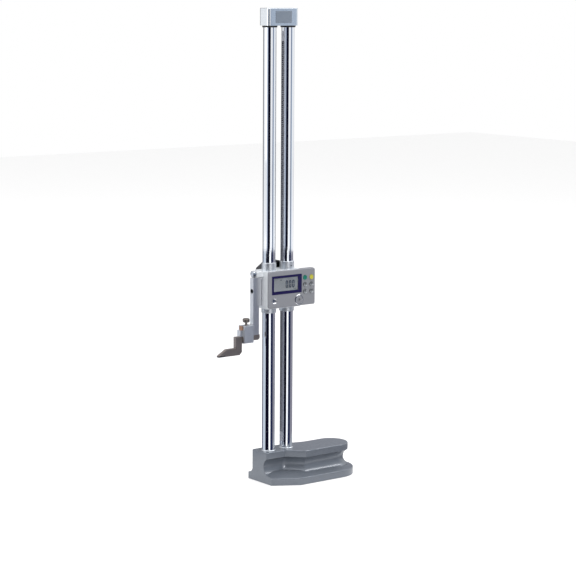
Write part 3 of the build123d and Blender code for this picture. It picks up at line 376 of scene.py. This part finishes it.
# ---- Probe socket --------------------------------------------------------------------------------
# A round socket for the touch probe's lead, in the lower right of the front: a bright turned ring
# round a sunk grey face, with one small hole in a low boss.
RING_RADIUS = 0.0090
RING_BORE = 0.0071
RING_FLAT_INNER = 0.0074
RING_FLAT_OUTER = 0.0082
BOSS_RADIUS = 0.0030
BOSS_FOOT_RADIUS = 0.0034
HOLE_RADIUS = 0.0022
socket_low, socket_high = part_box("probe_socket")
socket_middle = front_middle(socket_low, socket_high)
bore_edge = (RING_BORE, socket_low.y + 0.0005)
ring_profile = [
    bore_edge, (RING_FLAT_INNER, socket_low.y), (RING_FLAT_OUTER, socket_low.y),
    (RING_RADIUS, socket_low.y + 0.0008), (RING_RADIUS, socket_high.y),
    (RING_BORE, socket_high.y), bore_edge,
]
boss_front = socket_low.y + 0.0002
face_front = socket_low.y + 0.0006
hole_floor = socket_high.y - 0.0006
face_profile = [
    (HOLE_RADIUS, hole_floor), (HOLE_RADIUS, boss_front), (BOSS_RADIUS, boss_front),
    (BOSS_FOOT_RADIUS, face_front), (RING_BORE, face_front), (RING_BORE, socket_high.y),
    (0, socket_high.y), (0, hole_floor), (HOLE_RADIUS, hole_floor),
]
ring_chrome = plating("socket_ring_chrome", (0.80, 0.81, 0.84), roughness=0.2, mark=0.0006)
socket_ring = turned("socket_ring", ring_profile, socket_middle, Y_AXIS)
settle(socket_ring, ring_chrome, "slider", "chrome", "probe_socket")
socket_face = turned("socket_face", face_profile, socket_middle, Y_AXIS)
settle(socket_face, case_grey, "slider", "case_paint", "probe_socket")

# ---- Figures on the display ----------------------------------------------------------------------
# The liquid crystal shows 0.00, with a small bar above and a unit mark below. Each figure is made of
# pointed segments, as a seven-segment display draws them.
FIGURE_WIDTH = 0.0053
FIGURE_HEIGHT = 0.0135
FIGURE_STROKE = 0.002
FIGURE_PITCH = 0.00685
FIRST_FIGURE = 0.03053
FIGURE_ROW = 0.01293
SEGMENT_GAP = 0.0002
# A place is measured right and up from the panel's lower left corner; a size is length and stroke.
DECIMAL_POINT = 0.03396
DECIMAL_POINT_SIZE = (0.0014, 0.0012)
BAR_PLACE = (0.01828, 0.02078)
BAR_SIZE = (0.0040, 0.0011)
UNIT_PLACE = (0.04458, 0.00328)
UNIT_HEIGHT = 0.0036
INK_LIFT = 0.000008
QUARTER_TURN = math.radians(90)
UPRIGHT, LYING = 0, QUARTER_TURN

figure_ink = moulding("figure_ink", (0.012, 0.03, 0.075), roughness=0.45, depth=0.000002)
panel_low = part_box("lcd_panel")[0]
face_forward = Matrix.Rotation(QUARTER_TURN, 4, "X")


def on_panel(right, up):
    corner = Vector((panel_low.x, panel_low.y - INK_LIFT, panel_low.z))
    return Matrix.Translation(corner + Vector((right, 0, up)))


def segment(mesh, right, up, length, stroke, turn):
    # A long hexagon: a round of six corners, with its two halves drawn apart.
    radius = stroke / math.sqrt(3)
    made = bmesh.ops.create_circle(mesh, cap_ends=True, segments=6, radius=radius)
    for vert in made["verts"]:
        vert.co.y += math.copysign(length / 2 - radius, vert.co.y)
    place = on_panel(right, up) @ face_forward @ Matrix.Rotation(turn, 4, "Z")
    bmesh.ops.transform(mesh, matrix=place, verts=made["verts"])


half_width = (FIGURE_WIDTH - FIGURE_STROKE) / 2
half_height = (FIGURE_HEIGHT - FIGURE_STROKE) / 2
flat_length = 2 * half_width - SEGMENT_GAP
tall_length = half_height - SEGMENT_GAP
figures = bmesh.new()
for count in range(3):
    figure_x = FIRST_FIGURE + count * FIGURE_PITCH
    for side in (-1, 1):
        flat_z = FIGURE_ROW + side * half_height
        segment(figures, figure_x, flat_z, flat_length, FIGURE_STROKE, LYING)
        tall_x = figure_x + side * half_width
        for half in (-1, 1):
            tall_z = FIGURE_ROW + half * half_height / 2
            segment(figures, tall_x, tall_z, tall_length, FIGURE_STROKE, UPRIGHT)
segment(figures, DECIMAL_POINT, FIGURE_ROW - half_height, *DECIMAL_POINT_SIZE, UPRIGHT)
segment(figures, *BAR_PLACE, *BAR_SIZE, LYING)
settle(piece("display_figures", figures), figure_ink, "slider", "lcd")

unit_text = bpy.data.curves.new("unit_text", "FONT")
unit_text.body = "mm"
unit_text.size = UNIT_HEIGHT
unit_letters = stand("unit_text", unit_text)
bpy.context.view_layer.update()
unit_mesh = bpy.data.meshes.new_from_object(unit_letters)
bpy.data.objects.remove(unit_letters)
unit_mesh.transform(on_panel(*UNIT_PLACE) @ face_forward)
settle(stand("unit_mark", unit_mesh), figure_ink, "slider", "lcd")

# ---- Clamp knob ----------------------------------------------------------------------------------
# A small knob in bright chrome with straight knurling round it and a dished end; its spindle screws
# into the casting.
DISH_RADIUS = 0.0030
DISH_DEPTH = 0.0005
END_FLAT_INNER = 0.0036
END_FLAT_OUTER = 0.0045
BACK_RADIUS = 0.0047
SPINDLE_RADIUS = 0.0025
KNURL_VALLEY = 0.94
knob_low, knob_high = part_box("clamp_knob")
knob_middle = (0, (knob_low.y + knob_high.y) / 2, (knob_low.z + knob_high.z) / 2)
knob_radius = (knob_high.z - knob_low.z) / 2
dish_floor = knob_low.x + DISH_DEPTH
knurl_start = knob_low.x + 0.0009
knurl_end = knob_low.x + 0.0045
head_back = knob_low.x + 0.0054
knob_profile = [
    (0, dish_floor), (DISH_RADIUS, dish_floor), (END_FLAT_INNER, knob_low.x),
    (END_FLAT_OUTER, knob_low.x), (knob_radius, knurl_start), (knob_radius, knurl_end),
    (BACK_RADIUS, head_back), (SPINDLE_RADIUS, head_back), (SPINDLE_RADIUS, knob_high.x),
    (0, knob_high.x),
]
knob = turned("clamp_knob_knurled", knob_profile, knob_middle, X_AXIS)
for vert in knob.data.vertices:
    flat = Vector((vert.co.y - knob_middle[1], vert.co.z - knob_middle[2]))
    column = round(math.atan2(flat.y, flat.x) * TURN_STEPS / (2 * math.pi))
    on_knurl = math.isclose(flat.length, knob_radius, rel_tol=0.01)
    if on_knurl and column % 2:
        vert.co.y = knob_middle[1] + flat.x * KNURL_VALLEY
        vert.co.z = knob_middle[2] + flat.y * KNURL_VALLEY
knob_chrome = plating("knob_chrome", (0.62, 0.64, 0.68), roughness=0.2, mark=0.0006)
settle(knob, knob_chrome, "clamp_knob", "chrome", "clamp_knob")

# ---- Arm, clamp box and scriber ------------------------------------------------------------------
# The arm and the box are ground steel with fine lines along them. The blackened thumb screw presses
# on a copper leaf on the arm's jaw, which draws the box up and grips the scriber. The scriber is
# blackened steel with a lapped carbide tip.


def ground_steel(name, colour, roughness, stretch):
    material = new_finish(name, colour, metallic=1, roughness=roughness)
    lines = speckle(material, 0.00016, stretch=stretch, detail=4)
    vary_roughness(material, lines, low=roughness * 0.85, high=roughness * 1.2)
    emboss(material, lines, depth=0.000002)
    return material


arm_steel = ground_steel("ground_arm_steel", (0.76, 0.77, 0.80), 0.34, stretch=(1, 1, 60))
dress(arm_steel, "scriber_arm")
box_steel = ground_steel("ground_box_steel", (0.70, 0.73, 0.78), 0.42, stretch=(60, 1, 1))
dress(box_steel, "scriber_clamp")
leaf_copper = ground_steel("leaf_copper", (0.44, 0.27, 0.185), 0.45, stretch=(60, 1, 1))
dress(leaf_copper, "pressure_leaf")
scriber_steel = ground_steel("blackened_steel", (0.33, 0.29, 0.275), 0.42, stretch=(40, 1, 1))
dress(scriber_steel, "scriber")
screw_steel = ground_steel("blackened_screw_steel", (0.19, 0.17, 0.155), 0.38, stretch=(1, 1, 40))
dress(screw_steel, "thumb_screw")
carbide = new_finish("lapped_carbide", (0.14, 0.14, 0.155), metallic=0.8, roughness=0.2)
vary_roughness(carbide, speckle(carbide, 0.0006), low=0.14, high=0.28)
dress(carbide, "scriber_tip")

# ---- Studio --------------------------------------------------------------------------------------
# A pale floor in a pale room, soft lamps, and a ring of black, grey and pale screens, as a studio
# sets them round polished metal to draw bands along it. The screens show only in reflections.
FLOOR_REACH = 6
FLOOR_DROP = 0.0005
SCREEN_STEPS = 24
# The edge that is swept into a screen, as (distance from the main column, height) of its two ends.
WALL_EDGE = ((3.0, 0), (3.0, 4))
FLOOR_EDGE = ((0.2, 0.001), (3.0, 0.001))
BLACK_CARD = (0.004, 0.004, 0.014)
CAMERA_TARGET = Vector((0.04093, 0, 0.33175))
CAMERA_AZIMUTH = math.radians(-37.4331)
CAMERA_ELEVATION = math.radians(8.7144)
CAMERA_ROLL = math.radians(0.3044)
CAMERA_DISTANCE = 3.3216


def white_source(node, strength):
    node.inputs["Color"].default_value = (1, 1, 1, 1)
    node.inputs["Strength"].default_value = strength
    return node.outputs[0]


def split_rays(tree, seen, lit, target):
    # Camera, glossy and transmitted rays meet the seen shader, which is white or nearly so. All
    # other rays meet the lit one, so that the white background adds no light to the gauge.
    paths = tree.nodes.new("ShaderNodeLightPath")
    share = paths.outputs["Is Camera Ray"]
    for ray in ("Is Glossy Ray", "Is Transmission Ray"):
        larger = tree.nodes.new("ShaderNodeMath")
        larger.operation = "MAXIMUM"
        tree.links.new(share, larger.inputs[0])
        tree.links.new(paths.outputs[ray], larger.inputs[1])
        share = larger.outputs["Value"]
    mix = tree.nodes.new("ShaderNodeMixShader")
    tree.links.new(share, mix.inputs["Fac"])
    tree.links.new(lit, mix.inputs[1])
    tree.links.new(seen, mix.inputs[2])
    tree.links.new(mix.outputs["Shader"], target)


world = bpy.data.worlds.new("pale_room")
world.use_nodes = True
bpy.context.scene.world = world
room = world.node_tree
room_light = white_source(room.nodes["Background"], strength=0.62)
room_white = white_source(room.nodes.new("ShaderNodeBackground"), strength=1)
split_rays(room, room_white, room_light, room.nodes["World Output"].inputs["Surface"])

floor_mesh = bmesh.new()
bmesh.ops.create_grid(floor_mesh, x_segments=1, y_segments=1, size=FLOOR_REACH)
floor = stand("floor", finished_mesh("floor", floor_mesh))
floor.location.z = -FLOOR_DROP
floor_finish = new_finish("pale_floor", (0.62, 0.62, 0.62), metallic=0, roughness=0.9)
vary_roughness(floor_finish, speckle(floor_finish, 0.05), low=0.85, high=0.95)
floor_tree = floor_finish.node_tree
floor_lit = principled(floor_finish).outputs[0]
floor_glow = white_source(floor_tree.nodes.new("ShaderNodeEmission"), strength=0.5)
floor_seen = floor_tree.nodes.new("ShaderNodeAddShader")
floor_tree.links.new(floor_glow, floor_seen.inputs[0])
floor_tree.links.new(floor_lit, floor_seen.inputs[1])
floor_target = floor_tree.nodes["Material Output"].inputs["Surface"]
split_rays(floor_tree, floor_seen.outputs[0], floor_lit, floor_target)
floor.data.materials.append(floor_finish)

# Each lamp's name, place, the point it faces, its width and height, and its power in watts.
lamps = (
    ("left_softbox", (-3.0, 0.6, 1.4), (0, 0, 0.4), 2.0, 2.4, 14),
    ("front_softbox", (-0.6, -3.6, 2.4), (0, 0, 0.35), 0.8, 0.6, 36),
    ("top_softbox", (0.2, 0.2, 3.4), (0, 0, 0.3), 4.4, 4.4, 80),
    ("right_softbox", (1.9, -0.6, 2.3), (0.06, 0, 0.05), 0.5, 0.5, 9),
)
for name, place, target, width, height, power in lamps:
    light = bpy.data.lights.new(name, "AREA")
    light.shape = "RECTANGLE"
    light.size = width
    light.size_y = height
    light.energy = power
    lamp = stand(name, light)
    turn = (Vector(target) - Vector(place)).to_track_quat("-Z", "Y").to_matrix().to_4x4()
    lamp.matrix_world = Matrix.Translation(place) @ turn


def screen(name, ends, first, last, colour):
    # Sweeps the edge round the main column between two bearings, in degrees from the camera's own.
    start = CAMERA_AZIMUTH + math.radians(first)
    way = Vector((math.sin(start), -math.cos(start), 0))
    mesh = bmesh.new()
    corners = [mesh.verts.new(way * distance + Vector((0, 0, height))) for distance, height in ends]
    edge = mesh.edges.new(corners)
    bmesh.ops.spin(
        mesh, geom=corners + [edge], cent=(0, 0, 0), axis=(0, 0, 1),
        angle=math.radians(last - first), steps=SCREEN_STEPS,
    )
    made = stand(name, finished_mesh(name, mesh))
    card = new_finish(name, (0, 0, 0), metallic=0, roughness=0.9)
    principled(card).inputs["Emission Color"].default_value = (*colour, 1)
    principled(card).inputs["Emission Strength"].default_value = 1
    principled(card).inputs["Specular IOR Level"].default_value = 0
    made.data.materials.append(card)
    made.visible_camera = False
    made.visible_diffuse = False
    made.visible_shadow = False


screen("upper_black", WALL_EDGE, -25, 18, BLACK_CARD)
screen("upper_pale_blue", WALL_EDGE, -40, -25, (0.42, 0.48, 0.60))
screen("upper_right_grey", WALL_EDGE, 56, 72, (0.16, 0.19, 0.28))
screen("upper_right_pale", WALL_EDGE, 72, 86, (0.52, 0.60, 0.70))
screen("upper_right_edge", WALL_EDGE, 150, 180, (0.36, 0.36, 0.40))
screen("upper_left_edge", WALL_EDGE, -180, -116, (0.26, 0.26, 0.27))
screen("lower_black", FLOOR_EDGE, -54, 6, BLACK_CARD)
screen("lower_right_navy", FLOOR_EDGE, 36, 82, (0.02, 0.028, 0.075))
screen("lower_right_grey", FLOOR_EDGE, 82, 180, (0.31, 0.30, 0.35))
screen("lower_left_blue", FLOOR_EDGE, -112, -54, (0.66, 0.72, 0.80))
screen("lower_left_edge", FLOOR_EDGE, -180, -112, (0.14, 0.15, 0.20))

camera_data = bpy.data.cameras.new("camera")
camera_data.lens = 121.37
camera_data.sensor_width = 36
camera_data.clip_end = 50
camera = stand("camera", camera_data)
swing = Matrix.Rotation(CAMERA_AZIMUTH, 4, "Z")
tilt = Matrix.Rotation(math.pi / 2 - CAMERA_ELEVATION, 4, "X")
aim = swing @ tilt @ Matrix.Rotation(CAMERA_ROLL, 4, "Z")
camera_place = CAMERA_TARGET + aim.to_3x3() @ Vector((0, 0, CAMERA_DISTANCE))
camera.matrix_world = Matrix.Translation(camera_place) @ aim
bpy.context.scene.camera = camera
bpy.context.scene.view_settings.view_transform = "Standard"
